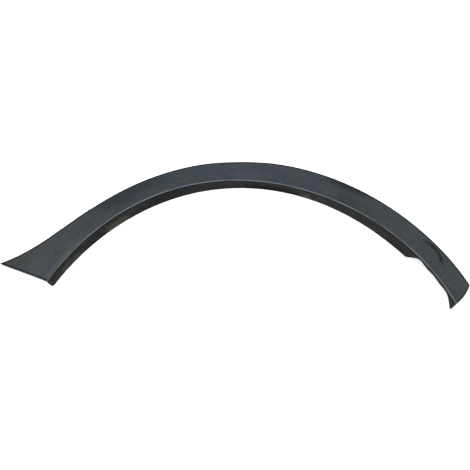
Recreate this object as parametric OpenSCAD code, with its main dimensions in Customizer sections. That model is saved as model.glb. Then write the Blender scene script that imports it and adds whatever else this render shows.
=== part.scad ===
// Wheel arch trim: a moulded strip that covers the edge of a wheel opening, and its push-in clips.
// It lies face up on the lower edge of its return flange. +X runs towards the right end, +Y to the
// top of the arch and +Z out of the visible face. The origin is the bottom centre of the trim's box.
// Every arc is drawn about the wheel axis, and angles count from the top of the arch to the right.

/* [Arch] */
// Radius of the crease between the face and the return flange
crease_r = 374.5; // [350:0.5:400]
// Radial width of the visible face
face_w = 46.5; // [40:0.5:54]
// Angle at which the crease reaches the left end
left_end = -61.2; // [-64:0.1:-58]
// Angle at which the crease reaches the right end
right_end = 68.4; // [66:0.1:72]
// Turn of the left end cut from the radius
left_skew = 5; // [0:0.5:10]
// Turn of the right end cut from the radius
right_skew = 25.7; // [15:0.1:30]
// Rounding of the right outer corner in plan
corner_r = 6; // [4:0.5:10]
// Swell of the right end cut between crease and corner
right_swell_w = 2.4; // [0.5:0.1:4]

/* [Section] */
// Wall thickness of the moulding
wall = 2.5; // [2:0.1:3]
// Height of the crease above the flange's lower edge
flange_h = 28; // [26:0.5:34]
// Distance from the crease in to the flange's lower edge
lean_w = 2.2; // [0.5:0.1:4]
// Height of the face's outer edge
rim_h = 18; // [17:0.5:21]
// Rise of the face above the straight line from crease to rim
crown = 0.5; // [0:0.1:1]
// Rounding of the crease
crease_round = 2.4; // [1:0.1:4]
// Rounding of the outer edge
rim_round = 1.6; // [0.8:0.1:2.4]
// Depth of the turned-down lip at the rim and at both ends
lip_h = 4.5; // [3.5:0.1:6]
// Rounding of the flange's lower corner at the left end
foot_corner_r = 6; // [2:0.5:9]
// Distance by which that corner stands back from the end cut
foot_back_w = 1.5; // [0.5:0.5:6]

/* [Flared end] */
// Angle at which the outer edge leaves its circle
flare_start = -40.4; // [-44:0.1:-36]
// Length of the straight stretch that follows
flare_straight = 78; // [60:1:90]
// Radius of the hollow curve out to the tip
flare_r = 260; // [220:5:400]
// Downward slope of the face near the rim and on out to the tip
flare_slope = 12.5; // [10:0.5:14]

/* [Flange cut-away] */
// Length of the cut-away near the right end
notch_l = 114; // [100:1:130]
// Height of the flange's edge along the cut-away
notch_h = 22; // [17:0.5:22.5]
// Length of the slope up at the cut-away's left
notch_rise_l = 20; // [12:1:40]
// Length of the slope down at its right
notch_fall_l = 19; // [12:1:40]
// Length taken by the rounding of its upper corners
notch_round_l = 7; // [3:0.5:11]
// Width of the tab's tip at its lower edge
tab_tip_w = 2.5; // [1:0.1:6]
// Height of the tab's tip above the flange's lower edge
tab_tip_z = 6; // [4:0.5:12]

/* [Clips and pins] */
// Number of clips
clip_count = 8; // [6:1:9]
// Angle of the first clip
clip_first = -57; // [-58:0.5:-54]
// Angle of the last clip
clip_last = 61.5; // [59:0.5:63]
// Radial distance from the crease to the line of clips and pins
clip_line = 22.5; // [21:0.5:26]
// Length of a clip house along the arch
house_l = 17; // [16:0.5:20]
// Width of a clip house across the arch
house_w = 18; // [17:0.5:20]
// Wall of a clip house
house_wall = 1.6; // [1.2:0.1:1.8]
// Thickness of the slotted floor of a clip house
house_floor = 1.8; // [1.4:0.1:2.2]
// Height of the underside of the clip houses
house_z = 14.4; // [13:0.1:15]
// Diameter of a clip's head
clip_head_d = 13; // [11:0.5:13.5]
// Thickness of a clip's head
clip_head_t = 1.4; // [1:0.1:1.6]
// Diameter of a clip's neck
clip_neck_d = 6; // [5:0.1:7]
// Diameter of a clip's collar
clip_collar_d = 15; // [13:0.5:17]
// Thickness of the collar's edge
clip_collar_t = 1.2; // [0.8:0.1:1.6]
// Largest diameter of a clip's split stud
clip_stud_d = 8.4; // [7:0.1:9]
// Length of the stud below the collar
clip_stud_l = 11.5; // [9:0.1:12]
// Length of the plain neck below the collar, where the panel's sheet sits
clip_seat_l = 1.5; // [1.2:0.1:2]
// Width of the two slots that split the stud
clip_slot_w = 1; // [0.6:0.1:1.4]
// Play between a clip and its house
clip_gap = 0.3; // [0.2:0.05:0.5]
// Diameter of the locating pins
pin_d = 6; // [5:0.1:7]
// Straight length of a locating pin
pin_l = 9; // [7:0.1:9.5]
// Height and width of the bevel at a pin's tip
pin_bevel = 0.8; // [0.4:0.1:1.2]
// Diameter of the shouldered boss above a pin
boss_d = 11; // [9:0.5:13]

/* [Gussets] */
// Thickness of the gussets between flange and face
gusset_t = 1.5; // [1.2:0.1:2]
// Reach of a gusset along the face
gusset_w = 9; // [6:0.5:9]
// Reach of a gusset down the flange
gusset_h = 12; // [8:0.5:14]

/* [Hidden] */
$fn = 48;
moulding_colour = [0.22, 0.24, 0.25];
clip_colour = [0.84, 0.82, 0.74];
// Extra length that carries a cutting shape past what it cuts
over = 1;
// Offset that lets a cutting shape cross a surface that it would otherwise only graze
graze = 0.05;
// Angle by which the rounding of the rim starts past the straight stretch of the flared end
seam = 0.3;
// Angle by which the swept sections run past both ends
end_room = 8;
// Length by which the end cuts run on inside the flange
inner_room = 30;
// Place of a stud's widest point, as a share of its length, and the draft of its barb
stud_widest = 0.42;
barb_draft = 0.5;
// Bevel of a clip's head
head_bevel = 0.4;
crown_steps = 6;
bend_steps = 5;
flare_steps = 12;
arch_steps = 50;
outer_r = crease_r + face_w;
foot_r = crease_r - lean_w;
clip_r = crease_r + clip_line;
clip_step = (clip_last - clip_first) / (clip_count - 1);
clip_angles = [for (i = [0 : clip_count - 1]) clip_first + i * clip_step];
pin_angles = [clip_first + clip_step / 2, clip_last - clip_step / 2];
boss_z = house_z - clip_gap - clip_collar_t;

// A point at radius r and at angle a from the top of the arch
function pol(r, a) = [r * sin(a), r * cos(a)];

// The point at radius r on an end cut that starts on the crease at angle a, turned by skew
// from the radius and moved in by inset
function cut_way(a, skew) = pol(1, a - skew);
function cut_start(a, skew, inset) =
    let (way = cut_way(a, skew), side = a > 0 ? [-way[1], way[0]] : [way[1], -way[0]])
    pol(crease_r, a) + inset * side;
function on_cut(a, skew, inset, centre, r) =
    let (start = cut_start(a, skew, inset) - centre,
         way = cut_way(a, skew),
         along = start * way)
    start + centre + way * (-along + sqrt(along * along - start * start + r * r));

// The left end in plan: the outer edge leaves its circle, runs straight and hollows out to the tip
flare_way = [-cos(flare_start), sin(flare_start)];
flare_side = pol(1, flare_start);
flare_bend = pol(outer_r, flare_start) + flare_straight * flare_way;
flare_centre = flare_bend + flare_r * flare_side;
function flare_tip(inset) =
    let (start = cut_start(left_end, left_skew, inset) - flare_centre,
         way = cut_way(left_end, left_skew),
         along = start * way)
    start + flare_centre + way * (-along - sqrt(along * along - start * start + pow(flare_r + inset, 2)));
function flare_turn(point) =
    let (spoke = point - flare_centre) atan2(spoke * flare_way, -spoke * flare_side);
function flare_edge(inset) =
    let (turn = flare_turn(flare_tip(inset)))
    [for (i = [0 : flare_steps]) let (s = turn * i / flare_steps)
        flare_centre + (flare_r + inset) * (sin(s) * flare_way - cos(s) * flare_side)];
flare_reach = norm(flare_tip(0)) + 4 * over;

// The right outer corner in plan: its fillet's centre, and where the fillet starts and ends
right_way = cut_way(right_end, right_skew);
right_side = [right_way[1], -right_way[0]];
corner_centre = on_cut(right_end, right_skew, corner_r, [0, 0], outer_r - corner_r);
swell_turn = atan(4 * right_swell_w / norm(corner_centre - pol(crease_r, right_end)));
corner_from = 90 - atan2(corner_centre[1], corner_centre[0]);
corner_to = 90 - atan2(right_side[1], right_side[0]) - swell_turn;

// The right end in plan, from the crease over the swell to the fillet
function right_edge(inset) =
    let (a = cut_start(right_end, right_skew, inset), b = corner_centre + pol(corner_r - inset, corner_to))
    [for (i = [0 : bend_steps - 1]) let (u = i / bend_steps)
        a + u * (b - a) + 4 * right_swell_w * u * (1 - u) * right_side];

// A point of the smooth bend from a to c that the corner b draws in
function bend(a, b, c, t) = (1 - t) * (1 - t) * a + 2 * t * (1 - t) * b + t * t * c;
function bend_points(a, b, c) = [for (i = [0 : bend_steps]) bend(a, b, c, i / bend_steps)];

// Height of the visible surface at radius r: crowned from the crease to slope_r, then straight
slope_r = outer_r - 2 * wall;
slope_z = rim_h + 2 * wall * tan(flare_slope);
function face_z(r) =
    let (u = (r - crease_r) / (slope_r - crease_r))
    u > 1 ? rim_h - (r - outer_r) * tan(flare_slope)
          : flange_h - (flange_h - slope_z) * u + 4 * crown * u * (1 - u);

// The visible surface from radius r0 to r1, lowered by drop
function skin(r0, r1, drop) =
    [for (i = [0 : crown_steps]) let (r = r0 + (r1 - r0) * i / crown_steps) [r, face_z(r) - drop]];
function backwards(points) = [for (i = [len(points) - 1 : -1 : 0]) points[i]];

// Radius of the flange's wheel side and of its back, at height z
function flange_front(z) = foot_r + lean_w * z / flange_h;
function flange_back(z) = flange_front(z) + wall;

// Section through the solid trim, from the flange's foot over the crease and out past the rim
solid_section = concat(
    [[flange_back(0), 0], [flange_front(0), 0]],
    bend_points([flange_front(flange_h - crease_round), flange_h - crease_round],
                [crease_r, flange_h],
                [crease_r + crease_round, face_z(crease_r + crease_round)]),
    skin(crease_r + 2 * crease_round, slope_r, 0),
    [[flare_reach, face_z(flare_reach)], [flare_reach, face_z(flare_reach) - lip_h]],
    backwards(skin(crease_r + wall, slope_r, lip_h)),
    [[flange_back(face_z(crease_r + wall) - lip_h), face_z(crease_r + wall) - lip_h]]);

// Section through the hollow behind the face, which is open below
hollow_section = concat(
    [[flange_back(-over), -over],
     [flange_back(face_z(crease_r + wall) - wall), face_z(crease_r + wall) - wall]],
    skin(crease_r + 2 * wall, slope_r, wall),
    [[flare_reach, face_z(flare_reach) - wall], [flare_reach, -over]]);

// Section through what is taken off to round the rim
rim_section = concat(
    [[outer_r - rim_round - graze, rim_h + flange_h]],
    bend_points([outer_r - rim_round - graze, face_z(outer_r - rim_round) + graze],
                [outer_r, rim_h],
                [outer_r + graze, rim_h - rim_round - graze]),
    [[outer_r + flange_h, rim_h - rim_round - graze], [outer_r + flange_h, rim_h + flange_h]]);

// Section through everything up to the middle of the wall, which trims what stands behind the face
core_top = face_z(crease_r + wall) - wall / 2;
core_section = concat(
    [[flange_back(0) - wall / 2, 0], [flange_back(core_top) - wall / 2, core_top]],
    skin(crease_r + 2 * wall, slope_r, wall / 2),
    [[slope_r, 0]]);

// The tab's tip, and the bottom centre of the box around the trim, seen from the wheel axis
function tab_tip() =
    on_cut(right_end, right_skew, 0, [0, 0], flange_front(tab_tip_z));
middle = [(flare_tip(0)[0] + corner_centre[0] + corner_r) / 2, (tab_tip()[1] + outer_r) / 2];

module sector(from, to) {
    rotate(90 - to) rotate_extrude(angle = to - from) children();
}

module at_angle(a) {
    rotate(-a) children();
}

module tall(shape_h = flange_h + 4 * over) {
    translate([0, 0, -2 * over]) linear_extrude(height = shape_h) children();
}

// Outline of the trim in plan, moved in by inset
module plan(inset) {
    fillet = [for (i = [0 : bend_steps])
        let (a = corner_to + (corner_from - corner_to) * i / bend_steps)
        corner_centre + pol(corner_r - inset, a)];
    arch = [for (i = [1 : arch_steps])
        pol(outer_r - inset, corner_from + (flare_start - corner_from) * i / arch_steps)];
    polygon(concat(
        flare_edge(inset),
        [on_cut(left_end, left_skew, inset, [0, 0], foot_r - inner_room),
         cut_start(right_end, right_skew, inset) - inner_room * right_way],
        right_edge(inset),
        fillet,
        arch));
}

module shell() {
    difference() {
        intersection() {
            sector(left_end - end_room, right_end + end_room) polygon(solid_section);
            tall() plan(0);
        }
        intersection() {
            sector(left_end - end_room - over, right_end + end_room + over) polygon(hollow_section);
            tall() plan(wall);
        }
        sector(flare_start + seam, right_end + end_room + over) polygon(rim_section);
    }
}

// A shape drawn along the arch and upwards, carried through the flange at angle a
module through_flange(a) {
    back = crease_r + wall + 2 * over;
    front = foot_r * cos(notch_l / 2 / foot_r * 180 / PI) - 2 * over;
    at_angle(a) translate([0, back, 0]) rotate([90, 0, 0]) linear_extrude(height = back - front) children();
}

// The point at distance d from a towards b
function towards(a, b, d) = a + d * (b - a) / norm(b - a);

// The cut-away slopes up from the left and down to the tab, and runs out below the tab's tip
module cut_away() {
    half = notch_l / 2;
    mid = right_end - asin((half + tab_tip_w) / foot_r);
    past_tab = half + tab_tip_w + 4 * over;
    start = [-half, 0];
    rise = [notch_rise_l - half, notch_h];
    fall = [half - notch_fall_l, notch_h];
    end = [half, tab_tip_z];
    through_flange(mid) polygon(concat(
        [[-half, -over]],
        bend_points(towards(rise, start, notch_round_l), rise, towards(rise, fall, notch_round_l)),
        bend_points(towards(fall, rise, notch_round_l), fall, towards(fall, end, notch_round_l)),
        [end, [past_tab, tab_tip_z], [past_tab, -over]]));
}

// The flange's lower corner at the left end is cut back on a slant and rounded
module foot_corner() {
    top = flange_h - 2 * crease_round;
    slant = [-over, top] - [foot_back_w, 0];
    through_flange(left_end) polygon(concat(
        [[-4 * over, top], [-4 * over, -over], [foot_back_w + foot_corner_r, -over]],
        bend_points([foot_back_w + foot_corner_r, 0], [foot_back_w, 0],
                    [foot_back_w, 0] + foot_corner_r * slant / norm(slant)),
        [[-over, top]]));
}

// A box-shaped house that hangs from the face and opens to the right, where the clip slides in
module clip_house() {
    difference() {
        translate([-house_l / 2, clip_r - house_w / 2, house_z]) cube([house_l, house_w, flange_h]);
        translate([-house_l / 2 + house_wall, clip_r - house_w / 2 + house_wall, house_z + house_floor])
            cube([house_l, house_w - 2 * house_wall, flange_h]);
        translate([0, clip_r, house_z - over]) cylinder(d = clip_neck_d + 2 * clip_gap, h = house_floor + 2 * over);
        translate([0, clip_r - clip_neck_d / 2, house_z - over])
            cube([house_l, clip_neck_d, house_floor + 2 * over]);
    }
}

module pin_boss() {
    translate([0, clip_r, boss_z]) cylinder(d = boss_d, h = flange_h);
}

module locating_pin() {
    translate([0, clip_r, boss_z - pin_l]) cylinder(d = pin_d, h = pin_l + over);
    translate([0, clip_r, boss_z - pin_l - pin_bevel])
        cylinder(d1 = pin_d - 2 * pin_bevel, d2 = pin_d, h = pin_bevel);
}

// A thin triangle in the corner between flange and face
module gusset() {
    top = flange_h + over;
    low = face_z(crease_r + wall) - wall - gusset_h;
    out = crease_r + wall + gusset_w;
    translate([-gusset_t / 2, 0, 0]) rotate([90, 0, 90]) linear_extrude(height = gusset_t)
        polygon([[foot_r, low], [flange_back(low), low], [out, face_z(out) - wall], [out, top], [foot_r, top]]);
}

// Gussets stand at both thirds of each gap between clips, as far as the flange keeps its full depth
gusset_angles = [for (i = [0 : clip_count - 2], third = [1, 2])
    let (a = clip_angles[i] + clip_step * third / 3)
    if (a < right_end - (notch_l + 2 * gusset_w) / foot_r * 180 / PI) a];

module back_details() {
    intersection() {
        union() {
            for (a = clip_angles) at_angle(a) clip_house();
            for (a = pin_angles) at_angle(a) pin_boss();
            for (a = gusset_angles) at_angle(a) gusset();
        }
        sector(left_end - end_room / 2, right_end + end_room / 2) polygon(core_section);
    }
}

module in_place() {
    translate([-middle[0], -middle[1], 0]) children();
}

module arch_moulding() {
    color(moulding_colour) in_place() {
        difference() {
            shell();
            cut_away();
            foot_corner();
        }
        back_details();
        for (a = pin_angles) at_angle(a) locating_pin();
    }
}

// One clip, turned as a single profile: head, neck, collar and a stud that two slots split in four
module clip() {
    head_z = house_z + house_floor;
    collar_z = boss_z;
    tip_z = collar_z - clip_stud_l;
    seat_z = collar_z - clip_seat_l;
    widest_z = collar_z - clip_stud_l * stud_widest;
    shank_r = clip_neck_d / 2 - clip_gap;
    difference() {
        rotate_extrude() polygon([
            [0, head_z + clip_head_t], [clip_head_d / 2 - head_bevel, head_z + clip_head_t],
            [clip_head_d / 2, head_z + clip_head_t - head_bevel], [clip_head_d / 2, head_z],
            [clip_neck_d / 2, head_z], [clip_neck_d / 2, collar_z + clip_collar_t],
            [clip_collar_d / 2, collar_z + clip_collar_t / 2], [clip_collar_d / 2, collar_z],
            [shank_r, collar_z], [shank_r, seat_z], [clip_stud_d / 2, widest_z],
            [clip_stud_d / 2 - barb_draft, widest_z - clip_seat_l], [shank_r / 2, tip_z], [0, tip_z]]);
        for (turn = [45, 135])
            rotate(turn) translate([-clip_stud_d, -clip_slot_w / 2, tip_z - over])
                cube([2 * clip_stud_d, clip_slot_w, seat_z - tip_z + over]);
    }
}

module retaining_clips() {
    color(clip_colour) in_place()
        for (a = clip_angles) at_angle(a) translate([0, clip_r, 0]) clip();
}

arch_moulding();
retaining_clips();
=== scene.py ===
# Wheel arch trim in dark moulded plastic with its nylon clips, face up on a pale floor.
import math
from types import SimpleNamespace
import bmesh
import bpy
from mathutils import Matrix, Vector


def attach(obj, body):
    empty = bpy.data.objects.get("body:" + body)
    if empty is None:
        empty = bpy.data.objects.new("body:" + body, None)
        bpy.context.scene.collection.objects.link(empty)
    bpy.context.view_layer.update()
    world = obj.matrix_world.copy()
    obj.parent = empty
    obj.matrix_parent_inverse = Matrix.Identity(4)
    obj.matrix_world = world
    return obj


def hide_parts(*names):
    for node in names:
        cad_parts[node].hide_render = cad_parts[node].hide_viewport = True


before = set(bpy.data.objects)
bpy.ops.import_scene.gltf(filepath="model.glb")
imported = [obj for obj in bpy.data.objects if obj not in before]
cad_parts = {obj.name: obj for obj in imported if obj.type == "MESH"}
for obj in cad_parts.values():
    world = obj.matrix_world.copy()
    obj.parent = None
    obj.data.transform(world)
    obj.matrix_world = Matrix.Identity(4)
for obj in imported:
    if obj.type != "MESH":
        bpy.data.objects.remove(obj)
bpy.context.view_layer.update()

MM = 0.001
DEG = math.radians(1)

# Places on the trim, in the row frame. The arcs are drawn about the wheel axis, and angles count
# from the top of the arch to the right.
WHEEL_AXIS = Vector((19.188, -278.726, 0.0)) * MM
CREASE_R = 374.5 * MM
RIM_R = 421.0 * MM
FACE_W = RIM_R - CREASE_R
CREASE_Z = 28.0 * MM
LEFT_END = -61.2 * DEG
LEFT_CUT = -66.2 * DEG
RIGHT_END = 68.4 * DEG
RIGHT_CUT = 42.7 * DEG
FLARE_START = -40.4 * DEG
FLARE_STRAIGHT = 78.0 * MM
FLARE_R = 260.0 * MM

# The real moulding wanders off its circles by up to 3.3 mm. Each wave has a height, the number of
# waves in a full turn and the angle of a crest, and each fade runs between two angles.
CREASE_WAVE = (2.6 * MM, 4.0, -18 * DEG)
FOOT_WAVE = (2.7 * MM, 3.75, -3.5 * DEG)
FOOT_SHIFT = -0.6 * MM
FOOT_END_FADE = (44 * DEG, 58 * DEG)
FOOT_END_SHIFT = -1.3 * MM
FOOT_END_SHARE = 0.3
RIM_WAVE = (1.5 * MM, 4.5, -3 * DEG)
RIM_SHIFT = -0.25 * MM
RIM_MARGIN = 0.05 * MM
FLARE_FADE = (-44 * DEG, -34 * DEG)
FLARE_SHARE = 0.35
CORNER_FADE = (52 * DEG, 64 * DEG)
TIP_SHIFT = 1.0 * MM
TIP_RADII = (RIM_R + 8 * MM, RIM_R + 42 * MM)

# Near the top the rim's shift keeps under this share of the room that the circle leaves below the
# level of its top, with a soft change over.
TOP_SHARE = 0.3
TOP_SOFTNESS = 0.5 * MM

# The flange's edge in its cut-away hangs lower than the source's, and is slightly wavy
FLANGE_RADII = (CREASE_R + 2.5 * MM, CREASE_R + 12 * MM)
SAG = 2.6 * MM
SAG_WAVE = (1.1 * MM, 72, 62 * DEG)
SAG_START = (53.5 * DEG, 56 * DEG)
SAG_END = (65 * DEG, 67 * DEG)
SAG_BOTTOM = (15 * MM, 20 * MM)
SAG_TOP = (22.3 * MM, 26 * MM)

# Camera: the photograph looks down on the floor from 64 degrees, square to the chord of the arch.
CAMERA_RISE = 64 * DEG
CAMERA_DISTANCE = 1.068
CAMERA_TARGET = Vector((6.838, -0.726, 0.0)) * MM
SENSOR_MM = 36
PHOTO_PIXELS = 470
FOCAL_PIXELS = 600

# Colours of the moulding
BLUE_GREY = ((0.020, 0.027, 0.0365, 1), (0.0305, 0.0375, 0.0485, 1))
GREEN_GREY = ((0.027, 0.033, 0.034, 1), (0.040, 0.047, 0.048, 1))
BROWN_GREY = (0.038, 0.036, 0.033, 1)
PORE_DARK = (0.012, 0.015, 0.016, 1)
SKIN_PALE = (0.075, 0.083, 0.088, 1)
DULL_DARK = (0.011, 0.012, 0.012, 1)
HALO_PALE = (0.056, 0.060, 0.058, 1)
TIP_BROWN = (0.030, 0.029, 0.026, 1)
# Black for the painted shade along the edges, also used for the dark arc mark
SHADE_AND_MARK_BLACK = (0.004, 0.005, 0.005, 1)
MARK_PALE = (0.12, 0.125, 0.12, 1)
# Pale colour of the painted highlight along the crease
CREASE_HIGHLIGHT = (0.125, 0.13, 0.135, 1)
# Flange base: painted darker than the face as shade, and darker again where painted in deeper shade
FLANGE_SHADE_DARK = (0.0095, 0.0098, 0.0090, 1)
FLANGE_DEEP_SHADE = (0.0018, 0.0023, 0.0021, 1)
FLANGE_MOTTLE = (0.028, 0.026, 0.021, 1)
OLIVE_DUST = (0.036, 0.033, 0.023, 1)
# Black of the painted shade line just below the crease
UNDER_CREASE_SHADE = (0.001, 0.001, 0.001, 1)

# Colours of the clips
NYLON = ((0.60, 0.57, 0.47, 1), (0.74, 0.72, 0.63, 1))
NYLON_DUST = (0.24, 0.20, 0.14, 1)
NYLON_SPECK = (0.30, 0.27, 0.21, 1)

# Dark arc mark on the right of the face
DARK_ARC_CENTRE = Vector((296.8, 217.8, 0)) * MM
DARK_ARC_R = 42.6 * MM

# Scratches near the left end: middle in mm about the wheel axis, slant in degrees, half length in mm
SCRATCHES = ((-351.9, 197.5, -4, 7.5), (-344.9, 194.6, 6, 5.0))

# Dusty stretches of the flange: first and last degree, softness in degrees, strength
DUSTY_STRETCHES = ((-39, -32.5, 3, 1.0), (17, 23, 3, 0.5), (37, 41, 2, 0.3))


def polar(radius, angle):
    return Vector((radius * math.sin(angle), radius * math.cos(angle), 0))


def clamp(value):
    return min(max(value, 0), 1)


def smooth(value, low, high):
    t = clamp((value - low) / (high - low))
    return t * t * (3 - 2 * t)


def wave(angle, height, turns, crest):
    return height * math.cos(turns * (angle - crest))


# How far the crease, the flange's foot and the rim lie off their circles
def shifts(angle):
    crease = wave(angle, *CREASE_WAVE)
    foot = FOOT_SHIFT + wave(angle, *FOOT_WAVE)
    foot_end = FOOT_END_SHIFT + crease * FOOT_END_SHARE
    foot = foot + (foot_end - foot) * smooth(angle, *FOOT_END_FADE)
    rim = RIM_SHIFT + wave(angle, *RIM_WAVE)
    rim = rim * (FLARE_SHARE + (1 - FLARE_SHARE) * smooth(angle, *FLARE_FADE))
    rim = rim * (1 - smooth(angle, *CORNER_FADE))
    limit = TOP_SHARE * (RIM_R / math.cos(angle) - RIM_R)
    rim = (rim + limit - math.hypot(rim - limit, TOP_SOFTNESS)) / 2 - RIM_MARGIN
    return crease, foot, rim


# How far a point near the flange's edge hangs down in the cut-away
def sag_at(angle, height):
    stretch = smooth(angle, *SAG_START) * (1 - smooth(angle, *SAG_END))
    layer = smooth(height, *SAG_BOTTOM) * (1 - smooth(height, *SAG_TOP))
    return stretch * layer * (SAG + wave(angle, *SAG_WAVE))


# Moves a point of the trim along its spoke, from the ideal arcs to where the real moulding runs
def wander(point):
    spoke = point - WHEEL_AXIS
    radius = math.hypot(spoke.x, spoke.y)
    angle = math.atan2(spoke.x, spoke.y)
    crease, foot, rim = shifts(angle)
    near = 1 - smooth(radius, *FLANGE_RADII)
    shift = crease + (rim - crease) * clamp((radius - CREASE_R) / FACE_W)
    shift = shift + (foot - crease) * clamp(1 - point.z / CREASE_Z) * near
    shift = shift - TIP_SHIFT * smooth(radius, *TIP_RADII)
    return point + shift * polar(1, angle) - Vector((0, 0, sag_at(angle, point.z) * near))


def add_camera():
    data = bpy.data.cameras.new("photo_camera")
    data.sensor_width = SENSOR_MM
    data.lens = SENSOR_MM * FOCAL_PIXELS / PHOTO_PIXELS
    data.clip_start = 0.01
    camera = bpy.data.objects.new("photo_camera", data)
    backwards = Vector((0, -math.cos(CAMERA_RISE), math.sin(CAMERA_RISE)))
    camera.location = CAMERA_TARGET + CAMERA_DISTANCE * backwards
    camera.rotation_euler = (math.pi / 2 - CAMERA_RISE, 0, 0)
    bpy.context.scene.collection.objects.link(camera)
    bpy.context.scene.camera = camera


def area_light(name, place, aim, size, power, colour):
    data = bpy.data.lights.new(name, "AREA")
    data.shape = "RECTANGLE"
    data.size, data.size_y = size
    data.energy = power
    data.color = colour
    lamp = bpy.data.objects.new(name, data)
    lamp.location = place
    lamp.rotation_euler = (Vector(aim) - Vector(place)).to_track_quat("-Z", "Y").to_euler()
    bpy.context.scene.collection.objects.link(lamp)


def add_studio():
    world = bpy.data.worlds.new("studio")
    bpy.context.scene.world = world
    world.use_nodes = True
    background = world.node_tree.nodes["Background"]
    background.inputs["Color"].default_value = (0.94, 0.965, 1.0, 1)
    background.inputs["Strength"].default_value = 1.25
    area_light("overhead_softbox", (-0.2, 0.5, 1.6), (0, 0, 0), (1.8, 1.2), 9, (0.97, 0.985, 1.0))
    area_light("side_softbox", (-1.4, -0.4, 1.0), (0, 0, 0), (0.9, 0.9), 3, (1.0, 0.98, 0.95))
    bpy.context.scene.view_settings.view_transform = "Standard"


# Pale floor with a glow of its own, which keeps the shadows faint
def add_floor():
    form = bmesh.new()
    bmesh.ops.create_grid(form, x_segments=1, y_segments=1, size=6.0)
    mesh = bpy.data.meshes.new("floor")
    form.to_mesh(mesh)
    form.free()
    floor = bpy.data.objects.new("floor", mesh)
    bpy.context.scene.collection.objects.link(floor)
    paint = bpy.data.materials.new("pale_floor")
    paint.use_nodes = True
    shader = paint.node_tree.nodes["Principled BSDF"]
    shader.inputs["Base Color"].default_value = (0.95, 0.95, 0.95, 1)
    shader.inputs["Emission Color"].default_value = (1.0, 1.0, 1.0, 1)
    shader.inputs["Emission Strength"].default_value = 0.46
    shader.inputs["Roughness"].default_value = 0.9
    shader.inputs["Specular IOR Level"].default_value = 0.1
    mesh.materials.append(paint)


# Places and joins shader nodes in one tree
class Graph:
    def __init__(self, tree):
        self.tree = tree

    def join(self, value, socket):
        if isinstance(value, bpy.types.NodeSocket):
            self.tree.links.new(value, socket)
        else:
            socket.default_value = value

    def add(self, kind, inputs=None, **settings):
        node = self.tree.nodes.new(kind)
        for name, value in settings.items():
            setattr(node, name, value)
        for key, value in (inputs or {}).items():
            self.join(value, node.inputs[key])
        return node

    def math(self, operation, a, b=0.0, clamp=False):
        return self.add("ShaderNodeMath", {0: a, 1: b}, operation=operation, use_clamp=clamp).outputs[0]

    def product(self, *values):
        result = values[0]
        for value in values[1:]:
            result = self.math("MULTIPLY", result, value)
        return result

    # The whole less a share of the mask
    def less(self, mask, share, whole=1.0):
        return self.math("SUBTRACT", whole, self.product(mask, share))

    def ramp(self, value, low, high, start=0.0, end=1.0):
        span = {"Value": value, "From Min": low, "From Max": high, "To Min": start, "To Max": end}
        return self.add("ShaderNodeMapRange", span, interpolation_type="SMOOTHSTEP").outputs["Result"]

    def band(self, value, low, high, soft):
        return self.product(self.ramp(value, low - soft, low + soft),
                            self.ramp(value, high + soft, high - soft))

    def blend(self, factor, a, b):
        node = self.add("ShaderNodeMix", data_type="RGBA")
        for value, socket in ((factor, node.inputs[0]), (a, node.inputs[6]), (b, node.inputs[7])):
            self.join(value, socket)
        return node.outputs[2]

    def either(self, factor, a, b):
        return self.add("ShaderNodeMix", {0: factor, 2: a, 3: b}).outputs[0]

    def noise(self, where, scale, detail=3.0, roughness=0.5):
        settings = {"Vector": where, "Scale": scale, "Detail": detail, "Roughness": roughness}
        return self.add("ShaderNodeTexNoise", settings).outputs["Fac"]

    def vector(self, operation, a, b, output=0):
        return self.add("ShaderNodeVectorMath", {0: a, 1: b}, operation=operation).outputs[output]

    def split(self, vector):
        return self.add("ShaderNodeSeparateXYZ", {0: vector}).outputs

    def distance(self, where, place):
        return self.vector("DISTANCE", where, place, "Value")

    # Distance from the line through a place, counted along its normal
    def past_line(self, where, place, normal):
        return self.vector("DOT_PRODUCT", self.vector("SUBTRACT", where, place), normal, "Value")

    def wave(self, angle, height, turns, crest):
        turned = self.math("MULTIPLY", self.math("SUBTRACT", angle, crest), turns)
        return self.math("MULTIPLY", self.math("COSINE", turned), height)

    def group(self, tree, inputs):
        node = self.add("ShaderNodeGroup", node_tree=tree)
        for key, value in inputs.items():
            self.join(value, node.inputs[key])
        return node.outputs


def new_group(name, inputs, outputs):
    group = bpy.data.node_groups.new(name, "ShaderNodeTree")
    for label, kind, value in inputs:
        socket = group.interface.new_socket(label, in_out="INPUT", socket_type=kind)
        if value is not None:
            socket.default_value = value
    for label in outputs:
        group.interface.new_socket(label, in_out="OUTPUT", socket_type="NodeSocketFloat")
    graph = Graph(group)
    return graph, graph.add("NodeGroupInput").outputs, graph.add("NodeGroupOutput").inputs


# Fine moulded grain: the height of the skin, flattened where it is worn
def make_grain_group():
    graph, given, result = new_group(
        "moulded_grain",
        [("Position", "NodeSocketVector", None), ("Pebble Size", "NodeSocketFloat", 0.0008),
         ("Wear", "NodeSocketFloat", 0.3)],
        ["Height"])
    density = graph.math("DIVIDE", 1.0, given["Pebble Size"])
    pebble = graph.add("ShaderNodeTexVoronoi", {"Vector": given["Position"], "Scale": density},
                       feature="SMOOTH_F1").outputs["Distance"]
    skin = graph.noise(given["Position"], 900.0, 4.0, 0.6)
    patches = graph.noise(given["Position"], 16.0, 4.0, 0.6)
    worn = graph.product(graph.ramp(patches, 0.45, 0.75), given["Wear"])
    height = graph.math("ADD", graph.product(pebble, 0.7), graph.product(skin, 0.5))
    graph.join(graph.product(height, graph.math("SUBTRACT", 1.0, worn)), result["Height"])
    return graph.tree


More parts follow.
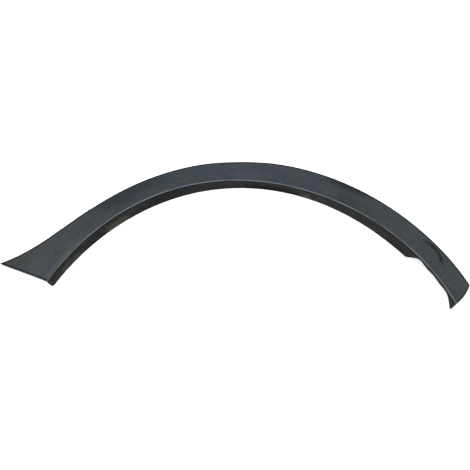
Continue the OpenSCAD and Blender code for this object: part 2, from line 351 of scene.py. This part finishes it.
# Cloudy tone: slow and fine drifts together, a drift of its own and small specks
def make_cloud_group():
    graph, given, result = new_group(
        "cloudy_tone",
        [("Position", "NodeSocketVector", None), ("Scale", "NodeSocketFloat", 12.0)],
        ["Tone", "Drift", "Specks"])
    slow = graph.noise(given["Position"], given["Scale"], 5.0, 0.55)
    fine = graph.noise(given["Position"], 260.0, 3.0, 0.6)
    apart = graph.vector("ADD", given["Position"], (3.1, 1.7, 0.4))
    drift = graph.noise(apart, graph.product(given["Scale"], 2.3), 3.0, 0.5)
    graph.join(graph.math("ADD", graph.product(slow, 0.5), graph.product(fine, 0.5)), result["Tone"])
    graph.join(drift, result["Drift"])
    graph.join(graph.ramp(fine, 0.66, 0.76), result["Specks"])
    return graph.tree


# Settled dust: patches that gather where Hold is high
def make_dust_group():
    graph, given, result = new_group(
        "settled_dust",
        [("Position", "NodeSocketVector", None), ("Scale", "NodeSocketFloat", 14.0),
         ("Hold", "NodeSocketFloat", 0.5)],
        ["Dust"])
    patches = graph.noise(given["Position"], given["Scale"], 6.0, 0.62)
    level = graph.less(given["Hold"], 0.3, 0.68)
    above = graph.math("SUBTRACT", patches, level)
    graph.join(graph.ramp(above, -0.08, 0.16), result["Dust"])
    return graph.tree


# What the moulding's masks share: places on the trim, and masks of its flange and face
def trim_places(graph):
    at = SimpleNamespace()
    at.here = graph.add("ShaderNodeTexCoord").outputs["Object"]
    across, along, at.height = graph.split(graph.vector("SUBTRACT", at.here, WHEEL_AXIS))
    at.flat = graph.add("ShaderNodeCombineXYZ", {0: across, 1: along}).outputs[0]
    at.radius = graph.distance(at.flat, (0, 0, 0))
    at.angle = graph.math("ARCTAN2", across, along)
    at.run = graph.math("SUBTRACT", at.radius, graph.wave(at.angle, *CREASE_WAVE))
    upward = graph.split(graph.add("ShaderNodeNewGeometry").outputs["Normal"])[2]
    at.face = graph.product(graph.ramp(at.run, CREASE_R + 1.0 * MM, CREASE_R + 3.0 * MM),
                            graph.ramp(upward, 0.3, 0.7))
    at.flange = graph.product(graph.ramp(at.run, CREASE_R + 7 * MM, CREASE_R + 4 * MM),
                              graph.ramp(at.height, CREASE_Z - 0.8 * MM, CREASE_Z - 2.2 * MM))
    at.low = graph.ramp(at.height, CREASE_Z - 5 * MM, 4 * MM)
    # A low stretch of the flange right of the top, painted in deeper shade
    at.bare = graph.product(graph.band(at.angle, 1 * DEG, 15 * DEG, 3 * DEG), at.low)
    at.right = graph.ramp(at.angle, 40 * DEG, 54 * DEG)
    return at


# Painted highlight along the crease, broken in places and fainter near the left end and right of the
# middle
def crease_highlight_mask(graph, at):
    line = graph.product(graph.band(at.run, CREASE_R - 0.4 * MM, CREASE_R + 0.9 * MM, 0.5 * MM),
                         graph.ramp(at.height, CREASE_Z - 3.4 * MM, CREASE_Z - 1.8 * MM))
    return graph.product(line, graph.ramp(graph.noise(at.here, 30.0, 3.0), 0.25, 0.62, 0.5, 1.0),
                         graph.ramp(at.angle, -10 * DEG, -36 * DEG, 0.95, 1.15),
                         graph.less(graph.band(at.angle, 33 * DEG, 50 * DEG, 4 * DEG), 0.3),
                         graph.ramp(at.angle, -40 * DEG, -50 * DEG, 1.0, 0.72))


# Face: blue grey that drifts towards green grey and brown grey, with dark pores and pale skin
def face_colour(graph, at, tone):
    blue = graph.blend(graph.ramp(tone["Tone"], 0.41, 0.59), *BLUE_GREY)
    green = graph.blend(graph.ramp(tone["Tone"], 0.41, 0.59), *GREEN_GREY)
    middle = graph.band(at.angle, -34 * DEG, 26 * DEG, 8 * DEG)
    greener = graph.less(middle, 0.6, graph.product(graph.ramp(tone["Drift"], 0.42, 0.58), 0.85))
    greener = graph.math("ADD", greener, graph.product(at.right, 0.6))
    colour = graph.blend(graph.math("ADD", greener, 0.35, clamp=True), blue, green)
    apart = graph.vector("ADD", at.here, (0.7, 2.9, 5.3))
    brown = graph.product(graph.ramp(graph.noise(apart, 70.0, 4.0, 0.6), 0.50, 0.66),
                          graph.less(at.right, 0.37, 0.42))
    colour = graph.blend(brown, colour, BROWN_GREY)
    pores = graph.ramp(graph.noise(at.here, 330.0, 5.0, 0.68), 0.66, 0.36)
    depth = graph.math("ADD", 0.22, graph.product(at.right, 0.25))
    colour = graph.blend(graph.product(pores, depth), colour, PORE_DARK)
    raised = graph.product(graph.math("SUBTRACT", 1.0, pores), depth, 0.26)
    return graph.blend(raised, colour, SKIN_PALE)


# Duller stretches of the face: one on the left, two on the right, near the crease and near the rim
def dull_mask(graph, at, tone):
    part = graph.math("DIVIDE", graph.math("SUBTRACT", at.run, CREASE_R), FACE_W)
    left = graph.product(graph.band(at.angle, -39 * DEG, -21 * DEG, 4 * DEG),
                         graph.ramp(part, 0.1, 0.7, 0.25, 1.3))
    inner = graph.product(graph.band(at.angle, 27 * DEG, 38 * DEG, 4 * DEG),
                          graph.ramp(part, 0.7, 0.2, 0.45, 0.8))
    outer = graph.product(graph.band(at.angle, 22 * DEG, 35 * DEG, 4 * DEG),
                          graph.ramp(part, 0.55, 0.8), graph.ramp(tone["Tone"], 0.3, 0.6, 1.7, 1.3))
    return graph.math("MAXIMUM", graph.math("MAXIMUM", left, inner), outer)


# Paler stretch of the face beside the crease, near the left end
def halo_mask(graph, at):
    return graph.product(graph.ramp(at.run, CREASE_R + 13 * MM, CREASE_R + 3 * MM),
                         graph.ramp(at.angle, -40 * DEG, -54 * DEG))


# The flared end's tip
def tip_mask(graph, at):
    return graph.product(graph.ramp(at.radius, RIM_R - 12 * MM, RIM_R + 26 * MM),
                         graph.ramp(at.angle, -46 * DEG, -54 * DEG))


# How far the rim lies off its circle, nearly as in shifts
def rim_shift(graph, at):
    shift = graph.math("ADD", graph.wave(at.angle, *RIM_WAVE), RIM_SHIFT)
    shift = graph.product(shift, graph.ramp(at.angle, *FLARE_FADE, FLARE_SHARE, 1.0),
                          graph.ramp(at.angle, *reversed(CORNER_FADE)))
    room = graph.math("SUBTRACT", graph.math("DIVIDE", RIM_R, graph.math("COSINE", at.angle)), RIM_R)
    shift = graph.math("MINIMUM", shift, graph.product(room, TOP_SHARE))
    return graph.less(graph.ramp(at.radius, *TIP_RADII), TIP_SHIFT, shift)


# Distance inwards from the outer edge in plan: rim circle, straight stretch and hollow curve in turn
def edge_distance(graph, at):
    start = polar(RIM_R, FLARE_START)
    onward = Vector((-math.cos(FLARE_START), math.sin(FLARE_START), 0))
    side = polar(1, FLARE_START)
    along = graph.past_line(at.flat, start, onward)
    on_rim = graph.math("SUBTRACT", RIM_R, at.radius)
    on_line = graph.past_line(at.flat, start, -side)
    centre = start + FLARE_STRAIGHT * onward + FLARE_R * side
    on_curve = graph.math("SUBTRACT", graph.distance(at.flat, centre), FLARE_R)
    first = graph.either(graph.math("GREATER_THAN", along, 0.0), on_rim, on_line)
    ideal = graph.either(graph.math("GREATER_THAN", along, FLARE_STRAIGHT), first, on_curve)
    return graph.math("ADD", ideal, rim_shift(graph, at))


# Painted shade along the edges: the rim, broader in one stretch, the flared edge and both end cuts
def edge_shade_mask(graph, at):
    broad = graph.band(at.angle, 24 * DEG, 33 * DEG, 5 * DEG)
    inwards = graph.math("DIVIDE", edge_distance(graph, at),
                         graph.math("ADD", 1.0, graph.product(broad, 1.1)))
    rim = graph.ramp(inwards, 4.4 * MM, 2.4 * MM)
    left_inside = Vector((math.cos(LEFT_CUT), -math.sin(LEFT_CUT), 0))
    right_inside = Vector((-math.cos(RIGHT_CUT), math.sin(RIGHT_CUT), 0))
    from_left = graph.past_line(at.flat, polar(CREASE_R, LEFT_END), left_inside)
    from_right = graph.past_line(at.flat, polar(CREASE_R, RIGHT_END), right_inside)
    left = graph.ramp(from_left, 3.4 * MM, 1.6 * MM)
    right = graph.product(graph.ramp(from_right, 1.6 * MM, -0.6 * MM), 0.6)
    return graph.math("MAXIMUM", graph.math("MAXIMUM", rim, left), right)


# Dark arc mark with soft ends
def dark_arc_mask(graph, at):
    off_arc = graph.math("ABSOLUTE", graph.math("SUBTRACT", graph.distance(at.flat, DARK_ARC_CENTRE), DARK_ARC_R))
    offset = graph.split(graph.vector("SUBTRACT", at.flat, DARK_ARC_CENTRE))
    turn = graph.math("ARCTAN2", offset[1], offset[0])
    return graph.product(graph.ramp(off_arc, 6.4 * MM, 0.6 * MM),
                         graph.band(turn, -6 * DEG, 58 * DEG, 14 * DEG),
                         graph.ramp(graph.noise(at.here, 120.0, 4.0), 0.25, 0.55, 0.55, 1.0))


def scratch_mask(graph, at, x, y, slant, reach):
    place = Vector((x, y, 0)) * MM
    way = Vector((math.cos(slant * DEG), math.sin(slant * DEG), 0))
    beside = graph.math("ABSOLUTE", graph.past_line(at.flat, place, Vector((-way.y, way.x, 0))))
    far = graph.math("ABSOLUTE", graph.past_line(at.flat, place, way))
    return graph.product(graph.ramp(beside, 0.7 * MM, 0.1 * MM),
                         graph.ramp(far, reach * MM, 0.4 * reach * MM))


# Flange: painted shade makes it darker than the face, with deeper painted shade in some stretches;
# mottled, with olive dust in places, and black below the crease
def flange_colour(graph, at, dust):
    # Stretches painted in deeper shade, with less mottle and dust there: a low stretch right of the
    # top, the left end and a stretch left of the top
    shaded_stretch = graph.band(at.angle, -27 * DEG, -14 * DEG, 3 * DEG)
    left_end = graph.ramp(at.angle, -38 * DEG, -44 * DEG)
    deeper_shade = graph.math("ADD", graph.product(at.low, 0.5), graph.product(at.bare, 0.5))
    deeper_shade = graph.math("MAXIMUM", deeper_shade, graph.product(left_end, 0.8))
    deeper_shade = graph.math("MAXIMUM", deeper_shade, graph.product(shaded_stretch, 0.75))
    colour = graph.blend(deeper_shade, FLANGE_SHADE_DARK, FLANGE_DEEP_SHADE)

    mottle = graph.product(graph.ramp(graph.noise(at.here, 240.0, 4.0, 0.65), 0.42, 0.62),
                           graph.less(at.bare, 0.35, 0.35),
                           graph.ramp(graph.noise(at.here, 46.0, 4.0, 0.6), 0.40, 0.60, 0.3, 1.7),
                           graph.less(shaded_stretch, 0.7))
    colour = graph.blend(mottle, colour, FLANGE_MOTTLE)

    dusty = 0.0
    for first, last, soft, strength in DUSTY_STRETCHES:
        stretch = graph.band(at.angle, first * DEG, last * DEG, soft * DEG)
        dusty = graph.math("ADD", dusty, graph.product(stretch, strength))
    held = graph.math("ADD", graph.product(at.low, 0.35),
                      graph.product(dusty, graph.ramp(at.low, 0.0, 0.6), 0.8))
    film = graph.group(dust, {"Position": at.here, "Scale": 17.0, "Hold": graph.less(shaded_stretch, 0.3, held)})
    colour = graph.blend(film["Dust"], colour, OLIVE_DUST)

    # Painted shade: a black line just below the crease
    under_crease_shade = graph.band(at.height, CREASE_Z - 6 * MM, CREASE_Z - 3 * MM, 1.5 * MM)
    return graph.blend(graph.product(under_crease_shade, 0.7), colour, UNDER_CREASE_SHADE)


def new_paint(name):
    paint = bpy.data.materials.new(name)
    paint.use_nodes = True
    return paint, Graph(paint.node_tree), paint.node_tree.nodes["Principled BSDF"].inputs


def add_bump(graph, surface, height, strength, distance):
    bump = graph.add("ShaderNodeBump", {"Height": height, "Strength": strength, "Distance": distance})
    graph.join(bump.outputs["Normal"], surface["Normal"])


def make_moulded_plastic(grain, cloud, dust):
    paint, graph, surface = new_paint("dark_moulded_plastic")
    at = trim_places(graph)
    tone = graph.group(cloud, {"Position": at.here, "Scale": 13.0})
    skin = graph.group(grain, {"Position": at.here, "Pebble Size": 0.0009, "Wear": 0.5})
    # crease holds the painted highlight along the crease
    crease = crease_highlight_mask(graph, at)
    dark_arc = dark_arc_mask(graph, at)

    colour = face_colour(graph, at, tone)
    colour = graph.blend(graph.product(dull_mask(graph, at, tone), at.face, 0.55), colour, DULL_DARK)
    colour = graph.blend(graph.product(halo_mask(graph, at), at.face, 0.8), colour, HALO_PALE)
    colour = graph.blend(graph.product(tip_mask(graph, at), at.face, 0.85), colour, TIP_BROWN)
    # Painted shade along the rim, the flared edge and the end cuts
    colour = graph.blend(graph.product(edge_shade_mask(graph, at), 0.95), colour, SHADE_AND_MARK_BLACK)
    colour = graph.blend(graph.product(dark_arc, at.face, 0.95), colour, SHADE_AND_MARK_BLACK)
    for scratch in SCRATCHES:
        pale = graph.product(scratch_mask(graph, at, *scratch), at.face, 0.5)
        colour = graph.blend(pale, colour, MARK_PALE)
    # Flange colour, which holds its painted shade
    colour = graph.blend(at.flange, colour, flange_colour(graph, at, dust))
    # Painted highlight on the crease
    colour = graph.blend(graph.product(crease, 0.9), colour, CREASE_HIGHLIGHT)
    colour = graph.blend(graph.product(tone["Specks"], 0.12), colour, MARK_PALE)
    graph.join(colour, surface["Base Color"])

    rough = graph.math("ADD", 0.44, graph.product(tone["Tone"], 0.18))
    on_flange = graph.product(at.flange, graph.math("ADD", 0.25, graph.product(at.bare, 0.2)))
    rough = graph.math("ADD", rough, on_flange)
    rough = graph.math("ADD", rough, graph.product(dark_arc, 0.15))
    rough = graph.math("SUBTRACT", rough, graph.product(crease, 0.12), clamp=True)
    graph.join(rough, surface["Roughness"])
    add_bump(graph, surface, skin["Height"], 0.35, 0.12 * MM)
    surface["IOR"].default_value = 1.46
    surface["Specular IOR Level"].default_value = 0.14
    return paint


def make_clip_nylon(grain, cloud, dust):
    paint, graph, surface = new_paint("natural_nylon")
    here = graph.add("ShaderNodeTexCoord").outputs["Object"]
    tone = graph.group(cloud, {"Position": here, "Scale": 90.0})
    skin = graph.group(grain, {"Position": here, "Pebble Size": 0.0005, "Wear": 0.2})
    film = graph.group(dust, {"Position": here, "Scale": 160.0, "Hold": 0.45})
    colour = graph.blend(graph.ramp(tone["Tone"], 0.35, 0.65), *NYLON)
    colour = graph.blend(graph.product(film["Dust"], 0.45), colour, NYLON_DUST)
    colour = graph.blend(graph.product(tone["Specks"], 0.25), colour, NYLON_SPECK)
    graph.join(colour, surface["Base Color"])

    rough = graph.math("ADD", 0.32, graph.product(tone["Tone"], 0.2))
    rough = graph.math("ADD", rough, graph.product(film["Dust"], 0.2))
    graph.join(rough, surface["Roughness"])
    add_bump(graph, surface, skin["Height"], 0.2, 0.06 * MM)
    surface["Subsurface Weight"].default_value = 0.15
    surface["Subsurface Radius"].default_value = (0.004, 0.003, 0.002)
    surface["Subsurface Scale"].default_value = 0.5
    return paint


def round_edges(piece, width):
    edges = piece.modifiers.new("round_edges", "BEVEL")
    edges.width = width
    edges.segments = 3
    edges.limit_method = "ANGLE"
    edges.angle_limit = 32 * DEG
    edges.harden_normals = True


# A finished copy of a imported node: joined up, moved onto the real run and smoothly shaded
def finished_copy(node, name, paint):
    form = bmesh.new()
    form.from_mesh(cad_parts[node].data)
    bmesh.ops.remove_doubles(form, verts=form.verts, dist=0.004 * MM)
    bmesh.ops.dissolve_degenerate(form, edges=form.edges, dist=0.002 * MM)
    bmesh.ops.dissolve_limit(form, verts=form.verts, edges=form.edges, angle_limit=0.6 * DEG)
    for vert in form.verts:
        vert.co = wander(vert.co)
    for face in form.faces:
        face.smooth = True
        face.material_index = 0
    mesh = bpy.data.meshes.new(name)
    form.to_mesh(mesh)
    form.free()
    mesh.materials.append(paint)
    piece = bpy.data.objects.new(name, mesh)
    bpy.context.scene.collection.objects.link(piece)
    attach(piece, "root")
    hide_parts(node)
    return piece


add_camera()
add_studio()
add_floor()
groups = (make_grain_group(), make_cloud_group(), make_dust_group())

moulding = finished_copy("arch_moulding", "trim_moulding", make_moulded_plastic(*groups))
round_edges(moulding, 0.35 * MM)

clips = finished_copy("retaining_clips", "push_in_clips", make_clip_nylon(*groups))
round_edges(clips, 0.12 * MM)
